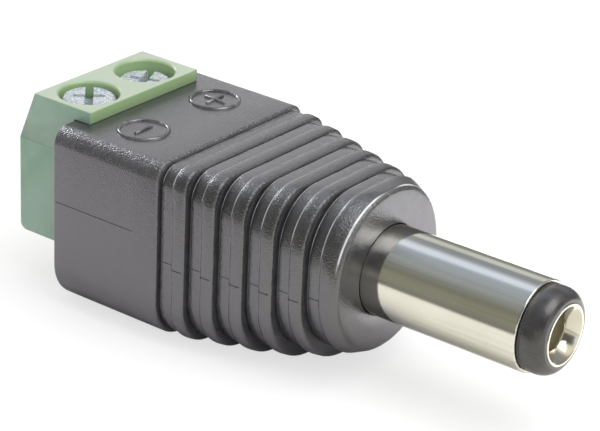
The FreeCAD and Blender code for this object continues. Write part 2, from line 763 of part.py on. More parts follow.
def make_pressure_plate(name, pole):
    """Plate that hangs on the screw's stub and presses the wire without turning."""
    body = new_body("pressure_plate_" + name)
    middle = f"{pole} * $pole_pitch / 2"
    under = f"{screw_bottom(name)} - $run_gap - $pad_thickness"
    outline = new_sketch(body, "plate_outline", "XY_Plane", under)
    draw_outline(outline, [
        (f"{screw_x} - $pad_length / 2", f"{middle} - $pad_width / 2"),
        (f"{screw_x} + $pad_length / 2", f"{middle} - $pad_width / 2"),
        (f"{screw_x} + $pad_length / 2", f"{middle} + $pad_width / 2"),
        (f"{screw_x} - $pad_length / 2", f"{middle} + $pad_width / 2"),
    ])
    plate = pad(body, "plate", outline, "$pad_thickness")
    thick = number(sized("$pad_thickness"))
    last = round_edges(body, "plate_round", plate,
                       lambda box: near(box.ZMax - box.ZMin, thick), "$pad_corner")
    hole = new_sketch(body, "stub_hole_outline", "XY_Plane", f"{under} + $pad_thickness")
    draw_circle(hole, screw_x, middle, "$stub_radius + $run_gap")
    pocket(body, "stub_hole", hole, "$pad_thickness")
    return keep(body)


outer_sleeve = make_outer_sleeve()
tip_insulator = make_tip_insulator()
centre_contact = make_centre_contact()
rear_bush = make_rear_bush()
sleeve_lug = make_sleeve_lug()
centre_lug = make_centre_lug()
terminal_block = make_terminal_block()
inserts = [make_barrel_cavity(), make_nose_pocket(), sleeve_lug, centre_lug]
for name, pole in SIDES.items():
    inserts.append(make_clamp_frame(name, pole))
    inserts.append(make_solder(name, pole))
    make_screw(name, pole)
    make_pressure_plate(name, pole)
make_housing(make_housing_outside(), inserts)
doc.recompute()

for item in doc.Objects:
    if "Invalid" in item.State or "Error" in item.State:
        raise RuntimeError(f"{item.Name} failed: {item.State}")

os.makedirs("parts", exist_ok=True)
for item in nodes:
    shape = item.Shape
    if shape.isNull() or not shape.isValid() or len(shape.Solids) != 1:
        raise RuntimeError(f"{item.Label} is not one valid solid")
    print(f"{item.Label}: {shape.Volume:.2f} cubic mm")
    shape.exportStep(f"parts/{item.Label}.step")
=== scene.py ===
import bmesh
import bpy
import math
from mathutils import Matrix, Vector


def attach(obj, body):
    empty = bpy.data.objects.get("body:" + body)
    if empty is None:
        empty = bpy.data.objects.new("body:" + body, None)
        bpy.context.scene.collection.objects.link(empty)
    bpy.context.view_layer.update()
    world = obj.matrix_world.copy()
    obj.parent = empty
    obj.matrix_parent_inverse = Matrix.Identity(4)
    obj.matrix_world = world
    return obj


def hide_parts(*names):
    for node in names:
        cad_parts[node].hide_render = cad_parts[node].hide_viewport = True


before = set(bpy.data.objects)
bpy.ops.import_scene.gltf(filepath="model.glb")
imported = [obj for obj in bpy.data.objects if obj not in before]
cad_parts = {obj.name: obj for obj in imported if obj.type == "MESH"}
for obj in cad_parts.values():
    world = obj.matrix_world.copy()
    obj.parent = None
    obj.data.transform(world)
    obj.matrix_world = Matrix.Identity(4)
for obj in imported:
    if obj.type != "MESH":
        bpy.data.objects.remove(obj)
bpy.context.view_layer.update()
mm = 0.001  # shapes below are written in millimetres
print("frame loaded:", len(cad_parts), "nodes")


# Mesh helpers

meshSettings = {"mergeDistance": 1e-7, "facetDistance": 2e-6, "facetAngle": 1, "bevelSegments": 3,
                "bevelAngle": 35, "bevelSharpAngle": 38}


def finishMesh(mesh, sharpAngle):
    work = bmesh.new()
    work.from_mesh(mesh)
    bmesh.ops.remove_doubles(work, verts=work.verts, dist=meshSettings["mergeDistance"])
    bmesh.ops.recalc_face_normals(work, faces=work.faces)
    work.to_mesh(mesh)
    work.free()
    mesh.shade_smooth()
    mesh.set_sharp_from_angle(angle=math.radians(sharpAngle))


def addObject(name, data):
    item = bpy.data.objects.new(name, data)
    bpy.context.scene.collection.objects.link(item)
    return item


def addPiece(name, points, faces, sharpAngle=32):
    mesh = bpy.data.meshes.new(name)
    mesh.from_pydata([Vector(p) * mm for p in points], [], faces)
    finishMesh(mesh, sharpAngle)
    return addObject(name, mesh)


def skinRings(rings, closeEnds=True, closedLoop=False):
    around = len(rings[0])
    spans = len(rings) if closedLoop else len(rings) - 1
    faces = []
    for i in range(spans):
        a, b = i * around, ((i + 1) % len(rings)) * around
        for j in range(around):
            k = (j + 1) % around
            faces.append((a + j, a + k, b + k, b + j))
    if closeEnds and not closedLoop:
        last = (len(rings) - 1) * around
        faces.append(tuple(range(around)))
        faces.append(tuple(last + j for j in range(around)))
    return [p for ring in rings for p in ring], faces


def polar(radius, turn):
    return radius * math.cos(turn), radius * math.sin(turn)


def arcPoints(centreA, centreB, radius, startAngle, endAngle, steps):
    points = []
    for i in range(steps + 1):
        a, b = polar(radius, math.radians(startAngle + (endAngle - startAngle) * i / steps))
        points.append((centreA + a, centreB + b))
    return points


def fullTurn(steps):
    return [2 * math.pi * j / steps for j in range(steps)]


def turnedPiece(name, outline, around, sharpAngle):
    turns = fullTurn(around)  # outline holds (x, radius) pairs, turned round the X axis
    rings = [[(x, *polar(radius, t)) for t in turns] for x, radius in outline]
    points, faces = skinRings(rings, closedLoop=True)
    return addPiece(name, points, faces, sharpAngle)


def boxPoints(low, high):
    return [(x, y, z) for x in (low[0], high[0]) for y in (low[1], high[1]) for z in (low[2], high[2])]


boxFaces = [(0, 1, 3, 2), (4, 6, 7, 5), (0, 4, 5, 1), (2, 3, 7, 6), (0, 2, 6, 4), (1, 5, 7, 3)]


def addFaces(points, faces, morePoints, moreFaces):
    shift = len(points)
    points.extend(morePoints)
    faces.extend(tuple(v + shift for v in face) for face in moreFaces)


def applyModifiers(piece):
    bpy.context.view_layer.update()
    shaped = bpy.data.meshes.new_from_object(piece.evaluated_get(bpy.context.evaluated_depsgraph_get()))
    piece.modifiers.clear()
    piece.data = shaped


def cutWith(piece, cutters, sharpAngle):
    for cutter in cutters:
        cut = piece.modifiers.new("cut", "BOOLEAN")
        cut.operation = "DIFFERENCE"
        cut.solver = "EXACT"
        cut.object = cutter
        applyModifiers(piece)
        bpy.data.objects.remove(cutter)
    finishMesh(piece.data, sharpAngle)


def softenEdges(piece, width):
    bevel = piece.modifiers.new("softEdges", "BEVEL")
    bevel.width = width * mm
    bevel.segments = meshSettings["bevelSegments"]
    bevel.limit_method = "ANGLE"
    bevel.angle_limit = math.radians(meshSettings["bevelAngle"])
    applyModifiers(piece)
    finishMesh(piece.data, meshSettings["bevelSharpAngle"])


def dressedCopy(node, name, edge):  # the CAD form with its facets cleaned and its edges softened
    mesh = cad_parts[node].data.copy()
    mesh.name = name
    work = bmesh.new()
    work.from_mesh(mesh)
    bmesh.ops.remove_doubles(work, verts=work.verts, dist=meshSettings["facetDistance"])
    bmesh.ops.dissolve_limit(work, verts=work.verts, edges=work.edges,
                             angle_limit=math.radians(meshSettings["facetAngle"]))
    work.to_mesh(mesh)
    work.free()
    mesh.materials.clear()
    piece = addObject(name, mesh)
    softenEdges(piece, edge)
    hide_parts(node)
    return piece


# Node helpers

def newGroup(name, inputs, outputs):  # inputs are numbers or vectors, and outputs are numbers
    group = bpy.data.node_groups.new(name, "ShaderNodeTree")
    for label, value in inputs.items():
        kind = "NodeSocketFloat" if isinstance(value, float) else "NodeSocketVector"
        socket = group.interface.new_socket(name=label, in_out="INPUT", socket_type=kind)
        if value is not None:
            socket.default_value = value
    for label in outputs:
        group.interface.new_socket(name=label, in_out="OUTPUT", socket_type="NodeSocketFloat")
    return group, group.nodes.new("NodeGroupInput"), group.nodes.new("NodeGroupOutput")


def feed(tree, socket, value):  # a number or a colour is set, and an output is linked
    if isinstance(value, tuple):
        socket.default_value = (*value, 1.0)
    elif isinstance(value, (int, float)):
        socket.default_value = value
    else:
        tree.links.new(value, socket)


def feedAll(tree, node, values):
    for label, value in values.items():
        feed(tree, node.inputs[label], value)


def mathNode(tree, operation, first, second=None, clamp=False):
    node = tree.nodes.new("ShaderNodeMath")
    node.operation = operation
    node.use_clamp = clamp
    feed(tree, node.inputs[0], first)
    if second is not None:
        feed(tree, node.inputs[1], second)
    return node.outputs[0]


def product(tree, *factors):
    result = factors[0]
    for factor in factors[1:]:
        result = mathNode(tree, "MULTIPLY", result, factor)
    return result


def noiseNode(tree, vector, scale, detail=2.0, roughness=0.5):
    node = tree.nodes.new("ShaderNodeTexNoise")
    feedAll(tree, node, {"Vector": vector, "Scale": scale, "Detail": detail, "Roughness": roughness})
    return node.outputs["Fac"]


def rangeNode(tree, value, fromMin, fromMax, toMin=0.0, toMax=1.0):
    node = tree.nodes.new("ShaderNodeMapRange")
    node.interpolation_type = "SMOOTHSTEP"
    feedAll(tree, node, {"Value": value, "From Min": fromMin, "From Max": fromMax,
                         "To Min": toMin, "To Max": toMax})
    return node.outputs["Result"]


def placeRange(tree, value, span, toMin=0.0, toMax=1.0):  # the same over a span in millimetres
    return rangeNode(tree, value, span[0] * mm, span[1] * mm, toMin, toMax)


def rangeGate(tree, value, rise, fall):  # one between two places, zero outside them
    return product(tree, rangeNode(tree, value, *rise), rangeNode(tree, value, *fall, 1.0, 0.0))


def coordinate(tree, measure="Object"):
    return tree.nodes.new("ShaderNodeTexCoord").outputs[measure]


def splitVector(tree, vector):
    node = tree.nodes.new("ShaderNodeSeparateXYZ")
    tree.links.new(vector, node.inputs[0])
    return node.outputs


def mixColours(tree, mask, first, second):
    node = tree.nodes.new("ShaderNodeMix")
    node.data_type = "RGBA"
    tree.links.new(mask, node.inputs["Factor"])
    feed(tree, node.inputs[6], first)
    feed(tree, node.inputs[7], second)
    return node.outputs[2]


# Shared effects: moulded grain, worn edges, plating marks

grainSettings = {"fineDetail": 2.0, "fineRoughness": 0.55, "cellDepth": -0.6, "broadDetail": 3.0,
                 "broadRoughness": 0.6, "mottleSpan": (0.32, 0.68)}
wearSettings = {"edgeSpan": (0.52, 0.6), "patchDetail": 3.0, "patchSpan": (0.4, 0.65)}
platingSettings = {"markDetail": 4.0, "markRoughness": 0.65, "markSpan": (0.3, 0.7), "cloudScale": 260.0,
                   "cloudDetail": 2.0, "toneSpan": (0.3, 0.7)}


def makeMouldedGrain(s):
    group, inside, outside = newGroup(
        "mouldedGrain", {"Vector": None, "Grain Scale": 4200.0, "Mottle Scale": 450.0}, ("Height", "Mottle"))
    vector, scale = inside.outputs["Vector"], inside.outputs["Grain Scale"]
    fine = noiseNode(group, vector, scale, s["fineDetail"], s["fineRoughness"])
    cells = group.nodes.new("ShaderNodeTexVoronoi")
    cells.feature = "SMOOTH_F1"
    feedAll(group, cells, {"Vector": vector, "Scale": scale})
    height = mathNode(group, "ADD", fine, product(group, cells.outputs["Distance"], s["cellDepth"]))
    broad = noiseNode(group, vector, inside.outputs["Mottle Scale"], s["broadDetail"], s["broadRoughness"])
    feedAll(group, outside, {"Height": height, "Mottle": rangeNode(group, broad, *s["mottleSpan"])})
    return group


def makeWornEdges(s):
    group, inside, outside = newGroup(
        "wornEdges", {"Vector": None, "Patch Scale": 900.0, "Amount": 0.5}, ("Mask",))
    shape = group.nodes.new("ShaderNodeNewGeometry")
    edge = rangeNode(group, shape.outputs["Pointiness"], *s["edgeSpan"])
    noise = noiseNode(group, inside.outputs["Vector"], inside.outputs["Patch Scale"], s["patchDetail"])
    mask = product(group, edge, rangeNode(group, noise, *s["patchSpan"]))
    group.links.new(mathNode(group, "MULTIPLY", mask, inside.outputs["Amount"], True), outside.inputs["Mask"])
    return group


def makePlatingMarks(s):
    group, inside, outside = newGroup(
        "platingMarks", {"Vector": None, "Mark Scale": 1500.0, "Stretch": (0.06, 1.0, 1.0)},
        ("Height", "Tone"))
    vector, scale = inside.outputs["Vector"], inside.outputs["Mark Scale"]
    stretched = group.nodes.new("ShaderNodeVectorMath")
    stretched.operation = "MULTIPLY"
    group.links.new(vector, stretched.inputs[0])
    group.links.new(inside.outputs["Stretch"], stretched.inputs[1])
    marks = noiseNode(group, stretched.outputs[0], scale, s["markDetail"], s["markRoughness"])
    clouds = noiseNode(group, vector, s["cloudScale"], s["cloudDetail"])
    feedAll(group, outside, {"Height": marks, "Tone": rangeNode(group, clouds, *s["toneSpan"])})
    return group


grainGroup = makeMouldedGrain(grainSettings)
wearGroup = makeWornEdges(wearSettings)
platingGroup = makePlatingMarks(platingSettings)
print("shared node groups made")


# Materials

def newMaterial(name):
    material = bpy.data.materials.new(name)
    material.use_nodes = True
    tree = material.node_tree
    return material, tree, tree.nodes["Principled BSDF"], coordinate(tree)


def placeGroup(tree, group, where, values):
    node = tree.nodes.new("ShaderNodeGroup")
    node.node_tree = group
    tree.links.new(where, node.inputs["Vector"])
    for label, value in values.items():
        node.inputs[label].default_value = value
    return node.outputs


def addBump(tree, shader, height, look):
    bump = tree.nodes.new("ShaderNodeBump")
    feedAll(tree, bump, {"Strength": look["bump"], "Distance": look["bumpDepth"] * mm, "Height": height})
    tree.links.new(bump.outputs["Normal"], shader.inputs["Normal"])


def mouldedPlastic(name, look):
    material, tree, shader, where = newMaterial(name)
    grain = placeGroup(tree, grainGroup, where,
                       {"Grain Scale": look["grainScale"], "Mottle Scale": look["mottleScale"]})
    wear = placeGroup(tree, wearGroup, where, {"Amount": look["wear"]})
    body = mixColours(tree, grain["Mottle"], look["dark"], look["light"])
    feedAll(tree, shader, {
        "Base Color": mixColours(tree, wear["Mask"], body, look["worn"]),
        "Roughness": rangeNode(tree, grain["Mottle"], 0.0, 1.0, *look["roughness"]),
        "Specular IOR Level": look["specular"], "IOR": look.get("ior", 1.5),
        "Specular Tint": look.get("tint", (1.0, 1.0, 1.0))})
    height = grain["Height"]
    if "turnedLines" in look:
        lines = look["turnedLines"]
        wave = tree.nodes.new("ShaderNodeTexWave")
        wave.bands_direction = "X"
        feedAll(tree, wave, {"Vector": where, "Scale": lines["scale"], "Distortion": lines["distortion"]})
        height = mathNode(tree, "ADD", height, product(tree, wave.outputs["Fac"], lines["depth"]))
    addBump(tree, shader, height, look)
    return material


def platedMetal(name, look):
    material, tree, shader, where = newMaterial(name)
    marks = placeGroup(tree, platingGroup, where,
                       {"Mark Scale": look["markScale"], "Stretch": look["stretch"]})
    plating = mixColours(tree, marks["Tone"], look["dark"], look["light"])
    if "streaks" in look:
        streaks = look["streaks"]
        mask = rangeNode(tree, marks["Height"], *streaks["span"], 0.0, streaks["amount"])
        plating = mixColours(tree, mask, plating, streaks["colour"])
    rough = rangeNode(tree, marks["Height"], *platingSettings["markSpan"], *look["roughness"])
    feedAll(tree, shader, {"Base Color": plating, "Roughness": rough, "Metallic": 1.0})
    addBump(tree, shader, marks["Height"], look)
    return material


zincSettings = {"marksPerCrystal": 2, "crystalDepth": 0.6}


def crystalZinc(name, look):  # bright zinc, whose crystals catch the light one by one
    material, tree, shader, where = newMaterial(name)
    cells = tree.nodes.new("ShaderNodeTexVoronoi")
    feedAll(tree, cells, {"Vector": where, "Scale": look["crystalScale"]})
    markScale = look["crystalScale"] * zincSettings["marksPerCrystal"]
    marks = placeGroup(tree, platingGroup, where, {"Mark Scale": markScale, "Stretch": (1.0, 1.0, 1.0)})
    chance = tree.nodes.new("ShaderNodeSeparateColor")  # three values that differ from crystal to crystal
    tree.links.new(cells.outputs["Color"], chance.inputs["Color"])
    tone, polish, lift = chance.outputs
    feedAll(tree, shader, {
        "Base Color": mixColours(tree, tone, look["dark"], look["light"]),
        "Roughness": rangeNode(tree, polish, 0.0, 1.0, *look["roughness"]), "Metallic": look["metallic"]})
    height = mathNode(tree, "ADD", product(tree, lift, zincSettings["crystalDepth"]), marks["Height"])
    addBump(tree, shader, height, look)
    return material


def openMaterial(material):
    tree = material.node_tree
    shader = tree.nodes["Principled BSDF"]
    return tree, shader, shader.inputs["Base Color"].links[0].from_socket


def paintLightWhere(material, measure, axis, span, colour):  # painted light and shade: another colour past a place or a slope
    tree, shader, before = openMaterial(material)
    mask = rangeNode(tree, splitVector(tree, coordinate(tree, measure))[axis], *span)
    tree.links.new(mixColours(tree, mask, before, colour), shader.inputs["Base Color"])


def paintRibHighlightsAndShade(material, look):  # thin painted highlight lines on the ribs' edges, brightest round the upper corners, with painted shade on the ribs' upper sides and painted glint specks
    tree, shader, before = openMaterial(material)
    where = coordinate(tree)
    along = splitVector(tree, where)["X"]
    facing = splitVector(tree, coordinate(tree, "Normal"))["Z"]
    ribs = mathNode(tree, "DIVIDE", mathNode(tree, "ADD", along, look["start"] * mm), look["pitch"] * mm)
    alongRib = product(tree, mathNode(tree, "FRACT", ribs), look["pitch"])
    lines = None
    for spot, width in look["lines"]:
        away = mathNode(tree, "ABSOLUTE", mathNode(tree, "SUBTRACT", alongRib, spot))
        line = rangeNode(tree, away, width * look["lineCore"], width, 1.0, 0.0)
        lines = line if lines is None else mathNode(tree, "MAXIMUM", lines, line)
    onRibs = placeRange(tree, along, [x - look["start"] for x in look["ribSpan"]])
    behindFace = placeRange(tree, along, look["faceSpan"], 1.0, 0.0)
    noise = noiseNode(tree, where, look["patchScale"], look["patchDetail"])
    lines = product(tree, lines, onRibs, rangeNode(tree, noise, *look["patchSpan"], look["patchLow"], 1.0))
    # painted shade on the ribs' upper sides, painted highlight lines on their edges, painted glint specks and
    # glints round the upper corners
    shade = product(tree, onRibs, rangeGate(tree, facing, look["shadeRise"], look["shadeFall"]), behindFace)
    shaded = mixColours(tree, shade, before, look["shadeColour"])
    withHighlightLines = mixColours(tree, product(tree, lines, behindFace), shaded, look["highlightLineColour"])
    dots = noiseNode(tree, where, look["speckScale"], look["speckDetail"])
    upper = rangeGate(tree, facing, look["speckRise"], look["cornerFall"])
    glintSpecks = product(tree, upper, rangeNode(tree, onRibs, 0.0, 1.0, *look["speckAmount"]),
                     rangeNode(tree, dots, *look["speckSpan"]))
    withGlintSpecks = mixColours(tree, glintSpecks, withHighlightLines, look["glintSpeckColour"])
    corner = rangeGate(tree, facing, look["cornerRise"], look["cornerFall"])
    glints = mixColours(tree, product(tree, lines, corner), withGlintSpecks, look["glintColour"])
    tree.links.new(glints, shader.inputs["Base Color"])
    low, high = look["grainStrength"]  # the grain stands out most round the corners
    bump = shader.inputs["Normal"].links[0].from_node
    tree.links.new(mathNode(tree, "ADD", product(tree, corner, high - low), low), bump.inputs["Strength"])


def addInnerGlow(material, glow):  # painted glow: emission that stands in for light gathering in a deep bore
    tree, shader, _ = openMaterial(material)
    outside = placeRange(tree, splitVector(tree, coordinate(tree))["X"], glow["span"])
    shine = mixColours(tree, outside, glow["colour"], (0.0, 0.0, 0.0))
    feedAll(tree, shader, {"Emission Color": shine, "Emission Strength": 1.0})


housingPlastic = mouldedPlastic("housing plastic", {
    "dark": (0.035, 0.034, 0.039), "light": (0.050, 0.048, 0.053),
    "worn": (0.11, 0.11, 0.115), "grainScale": 9500.0, "mottleScale": 1400.0, "wear": 0.35,
    "roughness": (0.18, 0.26), "specular": 0.95, "ior": 1.78, "tint": (0.94, 0.95, 1.0),
    "bump": 0.8, "bumpDepth": 0.045})
# painted highlight lines, shade, glint specks and glints on the housing's ribs
paintRibHighlightsAndShade(housingPlastic, {
    "start": 11.8, "pitch": 1.9, "ribSpan": (0.02, 0.06), "faceSpan": (-0.45, -0.4),
    "lines": [(0.17, 0.075), (1.0, 0.08)], "lineCore": 0.3, "highlightLineColour": (0.17, 0.17, 0.175),
    "patchScale": 900.0, "patchDetail": 3.0, "patchSpan": (0.34, 0.56), "patchLow": 0.4,
    "cornerRise": (0.12, 0.4), "cornerFall": (0.93, 0.995), "glintColour": (0.8, 0.8, 0.8),
    "shadeRise": (0.0, 0.07), "shadeFall": (0.7, 0.88), "shadeColour": (0.017, 0.0165, 0.018),
    "speckScale": 7500.0, "speckDetail": 1.0, "speckSpan": (0.55, 0.66), "speckRise": (0.5, 0.8),
    "speckAmount": (0.75, 0.12), "glintSpeckColour": (0.24, 0.24, 0.25), "grainStrength": (0.45, 0.95)})
markPlastic = mouldedPlastic("raised mark plastic", {
    "dark": (0.032, 0.031, 0.035), "light": (0.042, 0.041, 0.045),
    "worn": (0.24, 0.24, 0.245), "grainScale": 6500.0, "mottleScale": 1400.0, "wear": 0.6,
    "roughness": (0.14, 0.22), "specular": 1.0, "ior": 1.78, "tint": (0.93, 0.94, 1.0),
    "bump": 0.35, "bumpDepth": 0.04})
# painted shade: darker than the housing plastic, standing in for the shade along the mould line
seamPlastic = mouldedPlastic("mould line plastic", {
    "dark": (0.018, 0.018, 0.019), "light": (0.03, 0.03, 0.031),
    "worn": (0.06, 0.06, 0.062), "grainScale": 5200.0, "mottleScale": 900.0, "wear": 0.2,
    "roughness": (0.4, 0.5), "specular": 0.6, "bump": 0.2, "bumpDepth": 0.03})
greenPlastic = mouldedPlastic("terminal green plastic", {
    "dark": (0.262, 0.415, 0.318), "light": (0.285, 0.44, 0.34), "worn": (0.42, 0.52, 0.4),
    "grainScale": 5000.0, "mottleScale": 300.0, "wear": 0.3, "roughness": (0.34, 0.42), "specular": 0.8,
    "bump": 0.12, "bumpDepth": 0.03})
greenPaintedLight = [  # painted light and shade: a lighter near side, a darker far side and a paler top where faces look up
    ("Object", "Y", (-4.85 * mm, -4.7 * mm), (0.32, 0.47, 0.235)),
    ("Object", "Y", (4.7 * mm, 4.85 * mm), (0.25, 0.4, 0.29)),
    ("Normal", "Z", (0.6, 0.95), (0.43, 0.505, 0.395)),
]
for shade in greenPaintedLight:
    paintLightWhere(greenPlastic, *shade)
ringPlastic = mouldedPlastic("tip ring plastic", {
    "dark": (0.030, 0.028, 0.031), "light": (0.040, 0.038, 0.041), "worn": (0.1, 0.1, 0.11),
    "grainScale": 6000.0, "mottleScale": 1200.0, "wear": 0.3, "roughness": (0.22, 0.28), "specular": 1.0,
    "bump": 0.2, "bumpDepth": 0.015, "turnedLines": {"scale": 2800.0, "distortion": 0.6, "depth": 1.2}})
bushPlastic = mouldedPlastic("bush plastic", {
    "dark": (0.02, 0.02, 0.022), "light": (0.03, 0.03, 0.032), "worn": (0.07, 0.07, 0.075),
    "grainScale": 5000.0, "mottleScale": 500.0, "wear": 0.3, "roughness": (0.35, 0.45), "specular": 0.5,
    "bump": 0.15, "bumpDepth": 0.03})
brightNickel = platedMetal("bright nickel plating", {
    "dark": (0.76, 0.75, 0.71), "light": (0.82, 0.81, 0.77), "markScale": 2600.0,
    "stretch": (0.02, 1.0, 1.0), "roughness": (0.06, 0.13), "bump": 0.25, "bumpDepth": 0.01,
    "streaks": {"span": (0.44, 0.62), "amount": 0.4, "colour": (0.62, 0.61, 0.57)}})
contactNickel = platedMetal("contact nickel plating", {
    "dark": (0.62, 0.6, 0.52), "light": (0.8, 0.78, 0.71), "markScale": 900.0,
    "stretch": (1.0, 1.0, 1.0), "roughness": (0.1, 0.2), "bump": 0.2, "bumpDepth": 0.03})
addInnerGlow(contactNickel, {"span": (10.75, 11.25), "colour": (0.05, 0.046, 0.03)})
tinnedBrass = platedMetal("tinned brass", {
    "dark": (0.6, 0.55, 0.42), "light": (0.72, 0.68, 0.56), "markScale": 2000.0,
    "stretch": (0.1, 1.0, 1.0), "roughness": (0.25, 0.38), "bump": 0.15, "bumpDepth": 0.02})
dullSolder = platedMetal("dull solder", {
    "dark": (0.48, 0.48, 0.49), "light": (0.6, 0.6, 0.61), "markScale": 1800.0,
    "stretch": (1.0, 1.0, 1.0), "roughness": (0.32, 0.48), "bump": 0.3, "bumpDepth": 0.03})
clampZinc = crystalZinc("clamp zinc", {
    "dark": (0.56, 0.58, 0.62), "light": (0.74, 0.76, 0.8), "crystalScale": 2600.0,
    "metallic": 0.9, "roughness": (0.28, 0.42), "bump": 0.35, "bumpDepth": 0.03})
screwZinc = crystalZinc("screw zinc", {
    "dark": (0.5, 0.62, 0.78), "light": (1.0, 1.0, 1.0), "crystalScale": 8000.0,
    "metallic": 0.25, "roughness": (0.14, 0.3), "bump": 1.0, "bumpDepth": 0.12})
print("materials made")


def dress(piece, material, body="plug"):
    piece.data.materials.clear()
    piece.data.materials.append(material)
    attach(piece, body)
    return piece


# Housing

housingSizes = {
    "length": 20.0, "halfWidth": 6.79, "top": 5.04, "bottom": 6.5, "topCorner": 1.05, "bottomCorner": 2.6,
    "rearRounding": 0.22, "blockRings": (-18.0, -16.0, -14.0), "ribCount": 6, "firstGroove": 11.8,
    "ribPitch": 1.9, "grooveWidth": 0.14, "grooveDepth": 0.22, "grooveEnds": (0.02, 0.03),
    "ledgeLength": 0.84, "ledgeDrop": 0.09, "ledgeEnd": 0.02, "edgeRounding": 0.18, "stepLength": 0.26,
    "crestTaper": 0.03, "taperHalfway": 0.2, "ribHalfWidth": 6.6, "ribTop": 4.97, "ribTopCorner": 1.2,
    "ribBottomCorner": 2.7, "narrowing": 0.33, "cornerGrowth": 0.5, "bellyRise": 0.12, "flatRibs": 3,
    "leastFlat": 0.1, "faceRadius": 4.92, "faceRounding": 0.22, "faceBlends": (0.75, 0.5),
    "faceCircles": (4.3, 3.6), "barrelHole": 2.78, "holeEdge": 0.06, "holeEdgeBend": 0.3, "holeDepth": 2.9,
    "ledgeRounding": [(0.0, 0.06), (0.03, 0.018), (0.08, 0.0)],  # (forward of the groove, below the ledge)
    "stepShape": [(0.0, 1.0), (0.15, 0.5), (0.42, 0.22), (0.7, 0.08), (1.0, 0.0)],  # (along, drop) shares
    "pocket": {"halfWidth": 4.77, "low": -3.32, "step": 4.22, "depth": 1.92, "throat": 1.12, "behind": 0.5,
               "overlap": 0.4, "high": 6.0},
    "arcSteps": 14, "flatSteps": 5, "edgeSteps": 5, "sharpAngle": 40,
}


def roundedSection(s, halfWidth, top, bottom, topCorner, bottomCorner):
    loop = []  # starts low on the right side and goes over the top

    def straight(a, b):
        for i in range(s["flatSteps"]):
            t = i / s["flatSteps"]
            loop.append((a[0] + (b[0] - a[0]) * t, a[1] + (b[1] - a[1]) * t))

    def corner(across, upright, radius, start):
        loop.extend(arcPoints(across, upright, radius, start, start + 90, s["arcSteps"])[:-1])

    w, rt, rb = halfWidth, topCorner, bottomCorner
    straight((w, rb - bottom), (w, top - rt))
    corner(w - rt, top - rt, rt, 0)
    straight((w - rt, top), (rt - w, top))
    corner(rt - w, top - rt, rt, 90)
    straight((-w, top - rt), (-w, rb - bottom))
    corner(rb - w, rb - bottom, rb, 180)
    straight((rb - w, -bottom), (w - rb, -bottom))
    corner(w - rb, rb - bottom, rb, 270)
    return loop


def ribSection(s, i, drop):
    rise = max(0, i + 1 - s["flatRibs"]) ** 2
    w = s["ribHalfWidth"] - i * s["narrowing"] - drop
    return roundedSection(
        s, w, s["ribTop"] - drop, s["bottom"] - rise * s["bellyRise"] - drop,
        min(s["ribTopCorner"] + i * s["cornerGrowth"], w - s["leastFlat"]),
        min(s["ribBottomCorner"] + i * s["cornerGrowth"], w - s["leastFlat"]))


def blockSection(s, drop):
    return roundedSection(s, s["halfWidth"] - drop, s["top"] - drop, s["bottom"] - drop,
                          s["topCorner"] - drop / 2, s["bottomCorner"] - drop / 2)


def edgeRound(x, radius, forward, steps):
    stops = []  # (x, drop) pairs over a rounded edge that ends at x
    for i in range(steps + 1):
        a, b = polar(radius, math.radians(90 * i / steps))
        stops.append((x - radius + b, radius - a) if forward else (x + radius - a, radius - b))
    return stops


